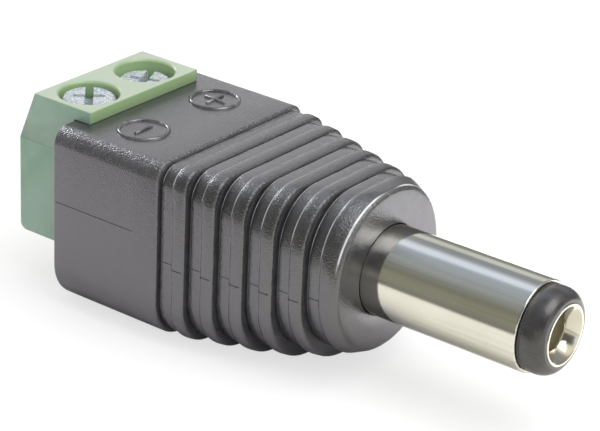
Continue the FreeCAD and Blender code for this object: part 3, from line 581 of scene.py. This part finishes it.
def makeHousing(s):
    rings = []
    steps = s["edgeSteps"]

    def ring(x, loop):
        rings.append([(x, y, z) for y, z in loop])

    for x, drop in edgeRound(-s["length"], s["rearRounding"], False, steps):
        ring(x, blockSection(s, drop))
    for x in s["blockRings"]:
        ring(x, blockSection(s, 0))
    for x, drop in edgeRound(-s["firstGroove"], s["edgeRounding"], True, steps):
        ring(x, blockSection(s, drop))
    low = s["ledgeDrop"]
    for i in range(s["ribCount"]):
        start = -(s["firstGroove"] - i * s["ribPitch"])
        ledge = start + s["grooveWidth"]
        crest = ledge + s["ledgeLength"]
        end = start + s["ribPitch"]
        rear, front = s["grooveEnds"]
        stops = [(start + rear, s["grooveDepth"]), (ledge - front, s["grooveDepth"])]
        stops += [(ledge + forward, low + drop) for forward, drop in s["ledgeRounding"]]
        stops += [((ledge + crest) / 2, low), (crest - s["ledgeEnd"], low)]
        stops += [(crest + s["stepLength"] * along, low * share) for along, share in s["stepShape"]]
        if i < s["ribCount"] - 1:  # the front rib runs out into the round end instead
            stops.append(((crest + end) / 2, s["crestTaper"] * s["taperHalfway"]))
            edge = edgeRound(end, s["edgeRounding"], True, steps)
            stops += [(x, drop + s["crestTaper"]) for x, drop in edge]
        for x, drop in stops:
            ring(x, ribSection(s, i, drop))
    rib = ribSection(s, s["ribCount"] - 1, 0)
    first = rings[-1][0][0]
    r = s["faceRadius"]
    face = roundedSection(s, r, r, r, r - s["leastFlat"], r - s["leastFlat"])
    blends = [(first * share, 0) for share in s["faceBlends"]]
    for x, drop in blends + edgeRound(0.0, s["faceRounding"], True, steps):
        t, shrink = (x - first) / -first, 1 - drop / r
        ring(x, [((a[0] * (1 - t) + b[0] * t) * shrink, (a[1] * (1 - t) + b[1] * t) * shrink)
                 for a, b in zip(rib, face)])
    turns = [math.atan2(z, y) for _, y, z in rings[-1]]
    hole, edge, bend = s["barrelHole"], s["holeEdge"], s["holeEdge"] * s["holeEdgeBend"]
    circles = [(0.0, radius) for radius in s["faceCircles"]]
    circles += [(0.0, hole + edge), (-bend, hole + bend), (-edge, hole), (-s["holeDepth"], hole)]
    for x, radius in circles:
        rings.append([(x, *polar(radius, t)) for t in turns])
    housing = addPiece("housing_shell", *skinRings(rings), s["sharpAngle"])
    p = s["pocket"]
    cutters = []
    nose = ("nose_cutter", p["depth"], p["low"], p["step"])
    throat = ("throat_cutter", p["throat"], p["step"] - p["overlap"], p["high"])
    for name, depth, low, high in (nose, throat):
        box = boxPoints((-s["length"] - p["behind"], -p["halfWidth"], low),
                        (depth - s["length"], p["halfWidth"], high))
        cutters.append(addPiece(name, box, boxFaces))
    cutWith(housing, cutters, s["sharpAngle"])
    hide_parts("housing")
    return dress(housing, housingPlastic)


housing = makeHousing(housingSizes)
print("housing made:", len(housing.data.polygons), "faces")


# Raised polarity marks and mould lines

markSizes = {
    "x": -15.92, "y": 3.28, "base": 5.02, "height": 0.16, "ringRadius": 1.48, "lineWidth": 0.28,
    "barWidth": 0.2, "barLength": 1.5, "barTip": 0.4, "barTipShare": 0.35, "ringSteps": 96, "sharpAngle": 50,
    "ringShape": (1.0, 0.82, 0.42), "barShape": (0.5, 0.42, 0.22), "shapeHeights": (0.0, 0.55, 0.92),
}


def ridgeShape(widths, heights):  # (across, up) pairs over a rounded ridge
    left = [(-a, b) for a, b in zip(widths, heights)]
    return left + [(0.0, 1.0)] + [(-a, b) for a, b in reversed(left)]


def barRings(start, end, s):
    along = Vector((end[0] - start[0], end[1] - start[1], 0)).normalized()
    side = Vector((-along.y, along.x, 0))
    width, tip, small = s["barWidth"], s["barTip"], s["barTipShare"]
    shape = ridgeShape(s["barShape"], s["shapeHeights"])
    rings = []
    for place, past, share in ((start, -tip, small), (start, 0, 1.0), (end, 0, 1.0), (end, tip, small)):
        x, y = place[0] + along.x * width * past, place[1] + along.y * width * past
        rings.append([(x + side.x * width * a * share, y + side.y * width * a * share,
                       s["base"] + s["height"] * b * share) for a, b in shape])
    return rings


def makeMark(name, side, bars, s):
    x, y, half, reach = s["x"], side * s["y"], s["lineWidth"] / 2, s["barLength"] / 2
    shape = [(s["ringRadius"] + half * a, s["base"] + s["height"] * b)
             for a, b in ridgeShape(s["ringShape"], s["shapeHeights"])]
    rings = [[(x + radius * math.cos(t), y + radius * math.sin(t), height) for radius, height in shape]
             for t in fullTurn(s["ringSteps"])]
    points, faces = skinRings(rings, closedLoop=True)
    for dx, dy in bars:
        start, end = (x - dx * reach, y - dy * reach), (x + dx * reach, y + dy * reach)
        addFaces(points, faces, *skinRings(barRings(start, end, s)))
    return dress(addPiece(name, points, faces, s["sharpAngle"]), markPlastic)


makeMark("minus_mark", -1, [(0, 1)], markSizes)
makeMark("plus_mark", 1, [(0, 1), (1, 0)], markSizes)

seamSizes = {
    "blockStart": 0.25, "blockEnd": -13.7, "blockHeight": 0.35, "ribHeight": -1.0, "ribRise": 0.06,
    "ribStep": -0.27, "ledgeGaps": (0.05, 0.02), "crestGaps": (0.04, 0.18), "width": 0.05, "proud": 0.008,
    "sink": 0.05,
}


def makeSeams(name, side, s, h):
    points, faces = [], []
    half = s["width"] / 2

    def strip(rear, front, wall, z):
        inner, outer = sorted((side * (wall - s["sink"]), side * (wall + s["proud"])))
        addFaces(points, faces, boxPoints((rear, inner, z - half), (front, outer, z + half)), boxFaces)

    strip(-h["length"] + s["blockStart"], s["blockEnd"], h["halfWidth"], s["blockHeight"])
    for i in range(h["ribCount"]):  # low on each rib's ledge, and a step lower on its crest
        start = -(h["firstGroove"] - i * h["ribPitch"]) + h["grooveWidth"]
        wall = h["ribHalfWidth"] - i * h["narrowing"]
        z = s["ribHeight"] + s["ribRise"] * i
        crest = start + h["ledgeLength"]
        strip(start + s["ledgeGaps"][0], crest - s["ledgeGaps"][1], wall - h["ledgeDrop"], z)
        if i < h["ribCount"] - 1:
            end = start + h["ribPitch"] - h["grooveWidth"]
            strip(crest + s["crestGaps"][0], end - s["crestGaps"][1], wall, z + s["ribStep"])
    return dress(addPiece(name, points, faces), seamPlastic)


makeSeams("minus_side_mould_line", -1, seamSizes, housingSizes)
makeSeams("plus_side_mould_line", 1, seamSizes, housingSizes)
print("marks and mould lines made")


# Barrel

barrelSizes = {
    "sleeveRadius": 2.75, "sleeveWall": 0.45, "sleeveFront": 10.46, "sleeveRear": -3.0, "rim": 0.1,
    "rimBevel": (0.04, 0.05), "seat": 0.4, "neckRadius": 2.5, "neckStart": -0.05, "flangeRadius": 3.5,
    "flangeFront": -2.5, "ringRadius": 2.59, "ringFront": 12.0, "ringBore": 1.37, "ringTaper": 0.95,
    "ringGap": 0.02, "ringBevel": 0.04, "ringBevelEnd": 0.06, "ringLip": 0.03, "collarRadius": 2.28,
    "contactRadius": 1.35, "bore": 1.05, "boreDepth": 10.0, "boreCone": 0.6, "boreRing": 0.5,
    "lipRadius": 1.85, "funnelMouth": 1.66, "funnelStart": 0.01, "funnelEnd": 0.05, "funnelCurve": 1.6,
    "flare": 0.85, "lipProud": 0.06, "rivetRadius": 1.75, "rivetFront": -5.4, "contactRear": -5.75,
    "mouthRounding": [(0.02, 0.04), (0.0, 0.1)], "lipRounding": [(0.0, 0.06), (0.02, 0.01)],
    "rimSteps": 6, "taperSteps": 18, "funnelSteps": 8, "sharpAngle": 45,
    "around": {"sleeve": 192, "ring": 160, "contact": 128},
}


def makeSleeve(s):
    outer, front, rim = s["sleeveRadius"], s["sleeveFront"], s["rim"]
    inner, (back, out) = outer - s["sleeveWall"], s["rimBevel"]
    outline = [(s["sleeveRear"], inner), (front - back, inner), (front, inner + out)]
    outline += arcPoints(front - rim, outer - rim, rim, 0, 90, s["rimSteps"])
    outline += [(s["seat"], outer), (s["neckStart"], outer), (s["neckStart"], s["neckRadius"]),
                (s["flangeFront"], s["neckRadius"]), (s["flangeFront"], s["flangeRadius"]),
                (s["sleeveRear"], s["flangeRadius"])]
    sleeve = turnedPiece("barrel_sleeve", outline, s["around"]["sleeve"], s["sharpAngle"])
    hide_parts("outer_sleeve")
    return dress(sleeve, brightNickel)


def makeTipRing(s):
    mouth, taper, rear = s["ringFront"], s["ringTaper"], s["sleeveFront"] + s["ringGap"]
    hole = s["lipRadius"] + s["ringGap"]
    flat = hole + s["ringLip"]
    flare = mouth + s["lipProud"] - s["flare"]
    outline = [(s["sleeveRear"], s["ringBore"]), (flare, s["ringBore"]), (mouth, hole)]
    for i in range(s["taperSteps"] + 1):  # a quarter of an ellipse
        turn = math.radians(90 * i / s["taperSteps"])
        outline.append((mouth - taper + taper * math.cos(turn),
                        flat + (s["ringRadius"] - hole - s["ringLip"]) * math.sin(turn)))
    outline += [(s["sleeveFront"] + s["ringBevelEnd"], s["ringRadius"]),
                (rear, s["ringRadius"] - s["ringBevel"]), (rear, s["collarRadius"]),
                (s["sleeveRear"], s["collarRadius"])]
    ring = turnedPiece("tip_ring", outline, s["around"]["ring"], s["sharpAngle"])
    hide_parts("tip_insulator")
    return dress(ring, ringPlastic)


def makeContact(s):
    tip = s["ringFront"] + s["lipProud"]
    flare, end = tip - s["flare"], tip - s["boreDepth"]
    bore, mouth, lip, rivet = s["bore"], s["funnelMouth"], s["lipRadius"], s["rivetFront"]
    outline = [(s["contactRear"], 0.0), (end - s["boreCone"], 0.0), (end, bore),
               (flare - s["boreRing"], bore), (flare, bore + s["funnelStart"])]
    for i in range(1, s["funnelSteps"] + 1):  # trumpet shaped funnel
        t = i / s["funnelSteps"]
        outline.append((flare + (s["flare"] - s["funnelEnd"]) * t,
                        bore + (mouth - bore) * t ** s["funnelCurve"]))
    outline += [(tip - back, mouth + out) for back, out in s["mouthRounding"]]
    outline += [(tip - back, lip - short) for back, short in s["lipRounding"]]
    outline += [(tip - s["lipProud"], lip), (flare, s["contactRadius"]), (rivet, s["contactRadius"]),
                (rivet, s["rivetRadius"]), (s["contactRear"], s["rivetRadius"])]
    contact = turnedPiece("centre_contact_flare", outline, s["around"]["contact"], s["sharpAngle"])
    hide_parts("centre_contact")
    return dress(contact, contactNickel)


makeSleeve(barrelSizes)
makeTipRing(barrelSizes)
makeContact(barrelSizes)
print("barrel made")


# Terminal block and clamps

blockSizes = {
    "edge": 0.09, "halfWidth": 4.92, "creaseHeight": 2.64, "creaseWidth": 0.045, "creaseDepth": 0.012,
    "creaseReach": 1, "rear": -24.6, "front": -20.3, "sharpAngle": 38, "frameEdge": 0.06, "plateEdge": 0.06,
}


def makeBlock(s):
    block = dressedCopy("terminal_block", "terminal_shell", s["edge"])
    half = s["creaseWidth"] / 2
    cutters = []
    for side in (1, -1):  # a fine crease on each side, where the rear face bends
        depths = s["halfWidth"] - s["creaseDepth"], s["halfWidth"] + s["creaseReach"]
        inner, outer = sorted(side * depth for depth in depths)
        box = boxPoints((s["rear"], inner, s["creaseHeight"] - half),
                        (s["front"], outer, s["creaseHeight"] + half))
        cutters.append(addPiece("crease_cutter", box, boxFaces))
    cutWith(block, cutters, s["sharpAngle"])
    return dress(block, greenPlastic)


def makeClamp(side, s):
    dress(dressedCopy(f"clamp_frame_{side}", f"{side}_clamp", s["frameEdge"]), clampZinc)
    plate = dressedCopy(f"pressure_plate_{side}", f"{side}_wire_plate", s["plateEdge"])
    dress(plate, clampZinc, f"{side}_plate")


makeBlock(blockSizes)
makeClamp("plus", blockSizes)
makeClamp("minus", blockSizes)

screwSizes = {
    "x": -20.985, "y": 2.54, "plateTop": 5.82, "depth": {"plus": 0.58, "minus": 0.22},
    "turn": {"plus": 24, "minus": 41}, "headRadius": 1.62, "headHeight": 1.57, "headEdge": 0.25,
    "headFoot": 0.08, "shank": 3.2, "threadStart": 0.1, "threadOuter": 1.22, "threadRoot": 1.0, "pitch": 0.45,
    "threadShape": (0.42, 0.55, 0.95), "slotWidth": 0.52, "slotDepth": 0.85, "slotReach": 0.5,
    "crossWidth": 0.4, "crossLength": 2.0, "recessDraft": 0.86, "recessAbove": 0.3, "stub": 0.6,
    "stubLength": 0.45, "stubHead": 0.9, "stubHeadHeight": 0.2, "around": 96, "edgeSteps": 6,
    "sharpAngle": 34,
}
recessFaces = [(0, 3, 2, 1), (4, 5, 6, 7), (0, 1, 5, 4), (1, 2, 6, 5), (2, 3, 7, 6), (3, 0, 4, 7)]


def recessCutters(s, top):  # a slot, and a cross recess whose longer arm lies across it
    slot = (s["slotWidth"] / 2, s["headRadius"] + s["slotReach"], 1)
    cross = (s["crossWidth"] / 2, s["crossLength"] / 2, s["recessDraft"])
    shapes = []
    for a, b, narrowing in (slot, cross):
        levels = ((top - s["slotDepth"], narrowing, s["recessDraft"]), (top + s["recessAbove"], 1, 1))
        shapes.append([(x * narrow, y * short, z) for z, narrow, short in levels
                       for x, y in ((-a, -b), (a, -b), (a, b), (-a, b))])
    shapes[1] = [(y, -x, z) for x, y, z in shapes[1]]
    return [addPiece("recess_cutter", shape, recessFaces) for shape in shapes]


def makeScrew(side, sign, s):
    top = s["plateTop"] - s["depth"][side]
    under = top - s["headHeight"]
    bottom = under - s["shank"]
    head, edge = s["headRadius"], s["headEdge"]
    root, outer, pitch = s["threadRoot"], s["threadOuter"], s["pitch"]
    outline = [(top, 0.0)] + arcPoints(top - edge, head - edge, edge, 0, 90, s["edgeSteps"])
    outline += [(under + s["headFoot"], head), (under, head - s["headFoot"]), (under, root)]
    z = under - s["threadStart"]
    rise, fall, foot = s["threadShape"]
    while z - pitch > bottom:  # thread drawn as rings
        outline += [(z, root), (z - pitch * rise, outer), (z - pitch * fall, outer), (z - pitch * foot, root)]
        z -= pitch
    end = bottom - s["stubLength"]
    tail = end - s["stubHeadHeight"]
    outline += [(bottom, root), (bottom, s["stub"]), (end, s["stub"]), (end, s["stubHead"]),
                (tail, s["stubHead"]), (tail, 0.0)]
    turns = fullTurn(s["around"])
    rings = [[(*polar(r, t), height) for t in turns] for height, r in outline]
    screw = addPiece(f"{side}_screw_zinc", *skinRings(rings, closeEnds=False), s["sharpAngle"])
    cutWith(screw, recessCutters(s, top), s["sharpAngle"])
    place = Vector((s["x"], sign * s["y"], 0)) * mm
    screw.data.transform(Matrix.Translation(place) @ Matrix.Rotation(math.radians(s["turn"][side]), 4, "Z"))
    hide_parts(f"screw_{side}")
    return dress(screw, screwZinc, f"{side}_screw")


makeScrew("plus", 1, screwSizes)
makeScrew("minus", -1, screwSizes)
print("terminal block, clamps and screws made")

insideFinishes = {"rear_bush": bushPlastic, "sleeve_lug": tinnedBrass, "centre_lug": tinnedBrass,
                  "solder_plus": dullSolder, "solder_minus": dullSolder}
for node, material in insideFinishes.items():  # these CAD forms stay as they are, inside the housing
    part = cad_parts[node]
    part.data.materials.clear()
    part.data.materials.append(material)


# Floor, reflections, lamps and camera

stageSizes = {
    "floorHeight": -6.51, "floorReach": 900.0, "floorRoughness": 0.9, "shownColour": (0.36, 0.36, 0.36),
    "shownLift": 0.68, "farSpan": (45.0, 160.0), "bounceColour": (0.8, 0.8, 0.8), "slant": 0.66,
    "sheetColour": (0.87, 0.855, 0.76), "sheetPlain": (0.9, 0.855, 0.865), "tableColour": (0.24, 0.23, 0.2),
    "sheetFront": (-65.0, -25.0), "ribSheetFront": (-29.5, -23.5), "sheetBack": (30.0, 48.0),
    "ribZoneStart": (-9.5, -8.0), "ribZoneEnd": (1.0, 3.0), "underTone": 0.95, "secondTone": 0.3,
    "underFront": (-6.0, -1.5), "underBack": (3.0, 8.0), "backLift": 0.9, "archRadius": 260.0,
    "archReach": 700.0, "archSteps": 92, "archJoins": [(-206.0, -194.0), (-158.0, -149.0), (40.0, 70.0)],
    "worldFill": 0.62,
}
# Stops: degrees round the barrel's axis, from -Y over the top, and the tone there, one number for a grey
barrelStops = [
    (-6, (0.24, 0.23, 0.2)), (10, (0.275, 0.27, 0.21)), (22, (0.27, 0.265, 0.2)), (38, (0.22, 0.22, 0.18)),
    (60, (0.35, 0.37, 0.37)), (92, (0.42, 0.47, 0.53)), (98, (0.52, 0.58, 0.66)), (103, (0.8, 0.88, 1.0)),
    (112, (0.86, 0.92, 1.05)), (119, (0.62, 0.67, 0.75)), (127, (0.34, 0.36, 0.4)), (140, (0.32, 0.33, 0.34)),
    (148, (0.66, 0.68, 0.63)), (160, (0.66, 0.68, 0.63)), (167, (0.31, 0.32, 0.29)),
    (186, (0.24, 0.24, 0.23)),
]
ribStops = [  # the ribs' reflections see further back
    (-6, 0.07), (10, 0.05), (60, 0.05), (84, 0.13), (97, (0.65, 0.65, 0.66)), (104, (1.1, 1.1, 1.12)),
    (116, (1.1, 1.1, 1.12)), (128, (0.9, 0.9, 0.91)), (138, (0.95, 0.95, 0.96)), (146, 1.15), (186, 1.15),
]
blockStops = [  # for the block at the rear
    (-6, 0.3), (20, 0.36), (50, 0.5), (72, 0.68), (92, 1.0), (108, 1.3), (128, 1.0),
    (146, (0.94, 0.93, 0.93)), (186, (0.94, 0.93, 0.93)),
]
tipStops = [  # for faces that look forward
    (-6, (0.9, 0.86, 0.68)), (8, (0.9, 0.86, 0.68)), (20, (0.14, 0.13, 0.12)), (72, 0.12),
    (84, (0.9, 0.87, 0.72)), (124, (1.05, 1.0, 0.84)), (136, (0.4, 0.4, 0.38)), (186, 0.24),
]


def makeFloor(s):
    reach, height = s["floorReach"], s["floorHeight"]
    corners = [(x * reach, y * reach, height) for x, y in ((-1, -1), (1, -1), (1, 1), (-1, 1))]
    floor = addPiece("studio_floor", corners, [(0, 1, 2, 3)])
    material, tree, shader, place = newMaterial("pale floor")
    feedAll(tree, shader, {"Roughness": s["floorRoughness"], "Specular IOR Level": 0.0,
                           "Emission Color": (1.0, 1.0, 1.0)})
    rays = tree.nodes.new("ShaderNodeLightPath").outputs
    split = splitVector(tree, place)

    def band(name, low=0.0, high=1.0):
        return placeRange(tree, split["Y"], s[name], low, high)

    # Reflections see a painted cream sheet with darker ends, a painted shadow under the plug and a painted
    # bright strip behind it
    slant = mathNode(tree, "SUBTRACT", split["X"], product(tree, split["Y"], s["slant"]))
    pastRibs = placeRange(tree, slant, s["ribZoneEnd"])
    forRibs = product(tree, placeRange(tree, slant, s["ribZoneStart"]),
                      placeRange(tree, slant, s["ribZoneEnd"], 1.0, 0.0))
    forRest = mathNode(tree, "SUBTRACT", 1.0, forRibs)
    front = product(tree, band("sheetFront"), mathNode(tree, "MAXIMUM", band("ribSheetFront"), forRest))
    back = band("sheetBack", 1.0, 0.0)
    # painted shadow under the plug, in what reflections see
    under = mathNode(tree, "MAXIMUM", band("underFront", 1.0, s["underTone"]),
                     band("underBack", s["underTone"], 1.0))
    once = rangeNode(tree, rays["Glossy Depth"], 1.0, 2.0, 1.0, s["secondTone"])
    sheet = mixColours(tree, pastRibs, s["sheetPlain"], s["sheetColour"])  # cream for the barrel alone
    mirrored = mixColours(tree, product(tree, front, back, under, once), s["tableColour"], sheet)

    # Far off, the floor that is seen turns into the white of the backdrop
    distance = tree.nodes.new("ShaderNodeVectorMath")
    distance.operation = "LENGTH"
    tree.links.new(place, distance.inputs[0])
    away = distance.outputs["Value"]
    nearTone = mixColours(tree, placeRange(tree, away, s["farSpan"]), s["shownColour"], (0.0, 0.0, 0.0))
    shown = mixColours(tree, rays["Is Camera Ray"], s["bounceColour"], nearTone)
    tree.links.new(mixColours(tree, rays["Is Glossy Ray"], shown, mirrored), shader.inputs["Base Color"])
    # painted bright strip behind the plug, seen only in reflections
    bright = product(tree, band("underBack", 0.0, s["backLift"]), back, once, rays["Is Glossy Ray"])
    lift = product(tree, rays["Is Camera Ray"], placeRange(tree, away, s["farSpan"], s["shownLift"], 1.0))
    tree.links.new(mathNode(tree, "ADD", bright, lift), shader.inputs["Emission Strength"])
    floor.data.materials.append(material)


def makeArch(s, zones):
    low, high = zones[0][0][0], zones[0][-1][0]
    points = []
    for i in range(s["archSteps"] + 1):
        turn = math.radians(low + (high - low) * i / s["archSteps"])
        y, z = -s["archRadius"] * math.cos(turn), s["archRadius"] * math.sin(turn)
        points += [(-s["archReach"], y, z), (s["archReach"], y, z)]
    faces = [(2 * i, 2 * i + 1, 2 * i + 3, 2 * i + 2) for i in range(s["archSteps"])]
    arch = addPiece("reflection_arch", points, faces)
    material, tree, shader, place = newMaterial("reflection arch tones")
    tree.nodes.remove(shader)
    glow = tree.nodes.new("ShaderNodeEmission")
    tree.links.new(glow.outputs[0], tree.nodes["Material Output"].inputs["Surface"])
    split = splitVector(tree, place)
    turn = mathNode(tree, "ARCTAN2", split["Z"], product(tree, split["Y"], -1.0))
    part = rangeNode(tree, turn, math.radians(low), math.radians(high))
    part.node.interpolation_type = "LINEAR"
    seen = None
    for zone, stops in enumerate(zones):  # from the rear to the tip, each tone fading into the next
        ramp = tree.nodes.new("ShaderNodeValToRGB")
        tree.links.new(part, ramp.inputs["Fac"])
        elements = ramp.color_ramp.elements
        elements.remove(elements[0])
        for i, (angle, tone) in enumerate(stops):
            position = (angle - low) / (high - low)
            stop = elements[0] if i == 0 else elements.new(position)
            stop.position = position
            stop.color = (*(tone if isinstance(tone, tuple) else (tone, tone, tone)), 1.0)
        tone = ramp.outputs["Color"]
        if seen is not None:
            tone = mixColours(tree, placeRange(tree, split["X"], s["archJoins"][zone - 1]), seen, tone)
        seen = tone
    tree.links.new(seen, glow.inputs["Color"])
    arch.data.materials.append(material)
    arch.visible_camera = arch.visible_diffuse = False
    arch.visible_shadow = arch.visible_transmission = False


def makeWorld(fill):  # white to the camera and in reflections, and dimmer as a light
    world = bpy.data.worlds.new("studio")
    bpy.context.scene.world = world
    world.use_nodes = True
    tree = world.node_tree
    tree.nodes.clear()
    rays = tree.nodes.new("ShaderNodeLightPath").outputs
    mirrored = mathNode(tree, "MAXIMUM", rays["Is Glossy Ray"], rays["Is Transmission Ray"])
    seen = mathNode(tree, "MAXIMUM", rays["Is Camera Ray"], mirrored)
    backdrop = tree.nodes.new("ShaderNodeBackground")
    strength = mathNode(tree, "ADD", product(tree, seen, 1.0 - fill), fill)
    feedAll(tree, backdrop, {"Color": (1.0, 1.0, 1.0), "Strength": strength})
    out = tree.nodes.new("ShaderNodeOutputWorld")
    tree.links.new(backdrop.outputs[0], out.inputs["Surface"])


lampTarget = (-8, 0, 0)
lampSettings = {
    "overhead_soft": {"place": (60, 60, 380), "size": 300, "power": 0.6, "colour": (1.0, 0.99, 0.97),
                      "glossy": False},
    "front_key": {"place": (123, 0, 202), "size": 170, "power": 0.21},
    "front_fill": {"place": (123, 0, 202), "size": 170, "power": 0.08, "glossy": False},
    "rear_glint": {"place": (-219, 60, 96), "size": 40, "power": 0.1, "diffuse": False},
}


def addLamp(name, look):
    data = bpy.data.lights.new(name, "AREA")
    data.shape = "RECTANGLE"
    data.size = data.size_y = look["size"] * mm
    data.energy = look["power"]
    data.color = look.get("colour", (1.0, 1.0, 1.0))
    lamp = addObject(name, data)
    lamp.location = Vector(look["place"]) * mm
    lamp.rotation_euler = (Vector(lampTarget) - Vector(look["place"])).to_track_quat("-Z", "Y").to_euler()
    lamp.visible_glossy = look.get("glossy", True)
    lamp.visible_diffuse = look.get("diffuse", True)
    lamp.visible_camera = False


makeFloor(stageSizes)
makeArch(stageSizes, (blockStops, ribStops, barrelStops, tipStops))
makeWorld(stageSizes["worldFill"])
for name, look in lampSettings.items():
    addLamp(name, look)

cameraSizes = {
    "azimuth": 36.919, "elevation": 24.835, "roll": 2.635, "distance": 139.037, "shiftRight": -5.083,
    "shiftUp": 3.102, "focalPixels": 2417.688, "frameWidth": 600, "sensor": 36.0, "clip": (0.01, 20),
}


def makeCamera(s):
    a, e, roll = (math.radians(s[k]) for k in ("azimuth", "elevation", "roll"))
    back = Vector((math.sin(a) * math.cos(e), -math.cos(a) * math.cos(e), math.sin(e)))
    right = Vector((math.cos(a), math.sin(a), 0))
    up = back.cross(right)
    turnedRight = math.cos(roll) * right + math.sin(roll) * up
    turnedUp = math.cos(roll) * up - math.sin(roll) * right
    data = bpy.data.cameras.new("product_camera")
    data.sensor_width = s["sensor"]
    data.lens = s["focalPixels"] / s["frameWidth"] * s["sensor"]
    data.clip_start, data.clip_end = s["clip"]
    camera = addObject("product_camera", data)
    axes = Matrix((turnedRight, turnedUp, back)).transposed().to_4x4()
    place = back * s["distance"] + turnedRight * s["shiftRight"] + turnedUp * s["shiftUp"]
    camera.matrix_world = Matrix.Translation(place * mm) @ axes
    bpy.context.scene.camera = camera


makeCamera(cameraSizes)
bpy.context.scene.view_settings.view_transform = "Standard"
print("stage, lamps and camera made")
